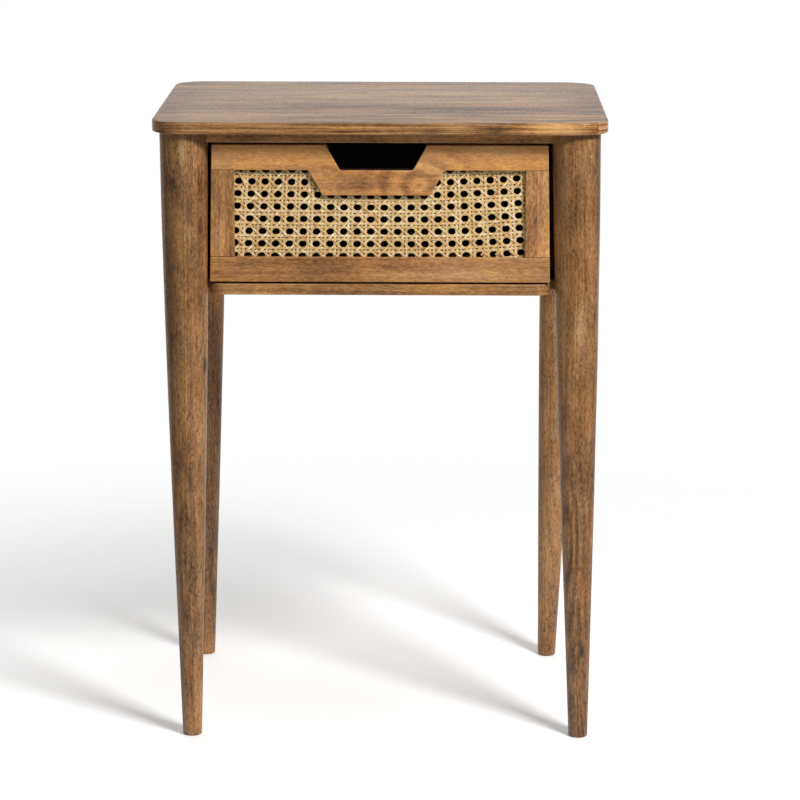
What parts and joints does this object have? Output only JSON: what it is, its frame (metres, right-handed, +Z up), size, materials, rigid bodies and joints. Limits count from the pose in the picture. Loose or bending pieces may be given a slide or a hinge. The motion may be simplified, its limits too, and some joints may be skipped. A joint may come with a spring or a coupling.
{
  "type": "bedside table with drawer",
  "caption": "Wooden bedside table: a round-cornered top on tall turned tapering legs, with a drawer under it that has a framed cane front and a cut-out finger grip.",
  "frame": {"origin": "on the floor, under the middle of the top", "axes": "+Z up, +X to the table's right seen from the front, +Y to the back; the drawer faces -Y"},
  "size_m": [0.45, 0.35, 0.635],
  "materials": {
    "mango_wood": "satin oiled, open grain",
    "inner_wood": "planed, stained dark",
    "beech": "turned, unfinished",
    "cane": "natural split cane, woven",
    "screw_steel": "bright zinc"
  },
  "bodies": {
    "case": {"top_panel": "mango_wood", "front_left_leg": "mango_wood", "front_right_leg": "mango_wood", "rear_left_leg": "mango_wood", "rear_right_leg": "mango_wood", "left_side_panel": "mango_wood", "right_side_panel": "mango_wood", "back_panel": "mango_wood", "front_top_rail": "mango_wood", "bottom_board": "mango_wood", "rear_top_cleat": "inner_wood", "left_drawer_guide": "inner_wood", "right_drawer_guide": "inner_wood", "left_closing_stop": "inner_wood", "right_closing_stop": "inner_wood", "left_front_board_dowel": "beech", "left_rear_board_dowel": "beech", "right_front_board_dowel": "beech", "right_rear_board_dowel": "beech", "left_front_guide_screw": "screw_steel", "left_front_top_screw": "screw_steel", "left_rear_guide_screw": "screw_steel", "left_rear_top_screw": "screw_steel", "right_front_guide_screw": "screw_steel", "right_front_top_screw": "screw_steel", "right_rear_guide_screw": "screw_steel", "right_rear_top_screw": "screw_steel"},
    "drawer": {"drawer_grip_rail": "mango_wood", "drawer_bottom_rail": "mango_wood", "drawer_left_stile": "mango_wood", "drawer_right_stile": "mango_wood", "cane_webbing": "cane", "drawer_left_side": "inner_wood", "drawer_right_side": "inner_wood", "drawer_back": "inner_wood", "drawer_base": "inner_wood", "opening_stop": "inner_wood", "cane_bottom_bead": "inner_wood", "cane_left_bead": "inner_wood", "cane_right_bead": "inner_wood", "cane_top_left_bead": "inner_wood", "cane_top_right_bead": "inner_wood", "cane_grip_bead": "inner_wood", "left_lower_side_dowel": "beech", "left_lower_stile_dowel": "beech", "left_upper_side_dowel": "beech", "left_upper_stile_dowel": "beech", "right_lower_side_dowel": "beech", "right_lower_stile_dowel": "beech", "right_upper_side_dowel": "beech", "right_upper_stile_dowel": "beech", "opening_stop_screw": "screw_steel"}
  },
  "joints": [
    {"name": "drawer_slide", "type": "slide", "parent": "case", "child": "drawer", "axis": [0, -1, 0], "range_m": [0, 0.2045]}
  ]
}
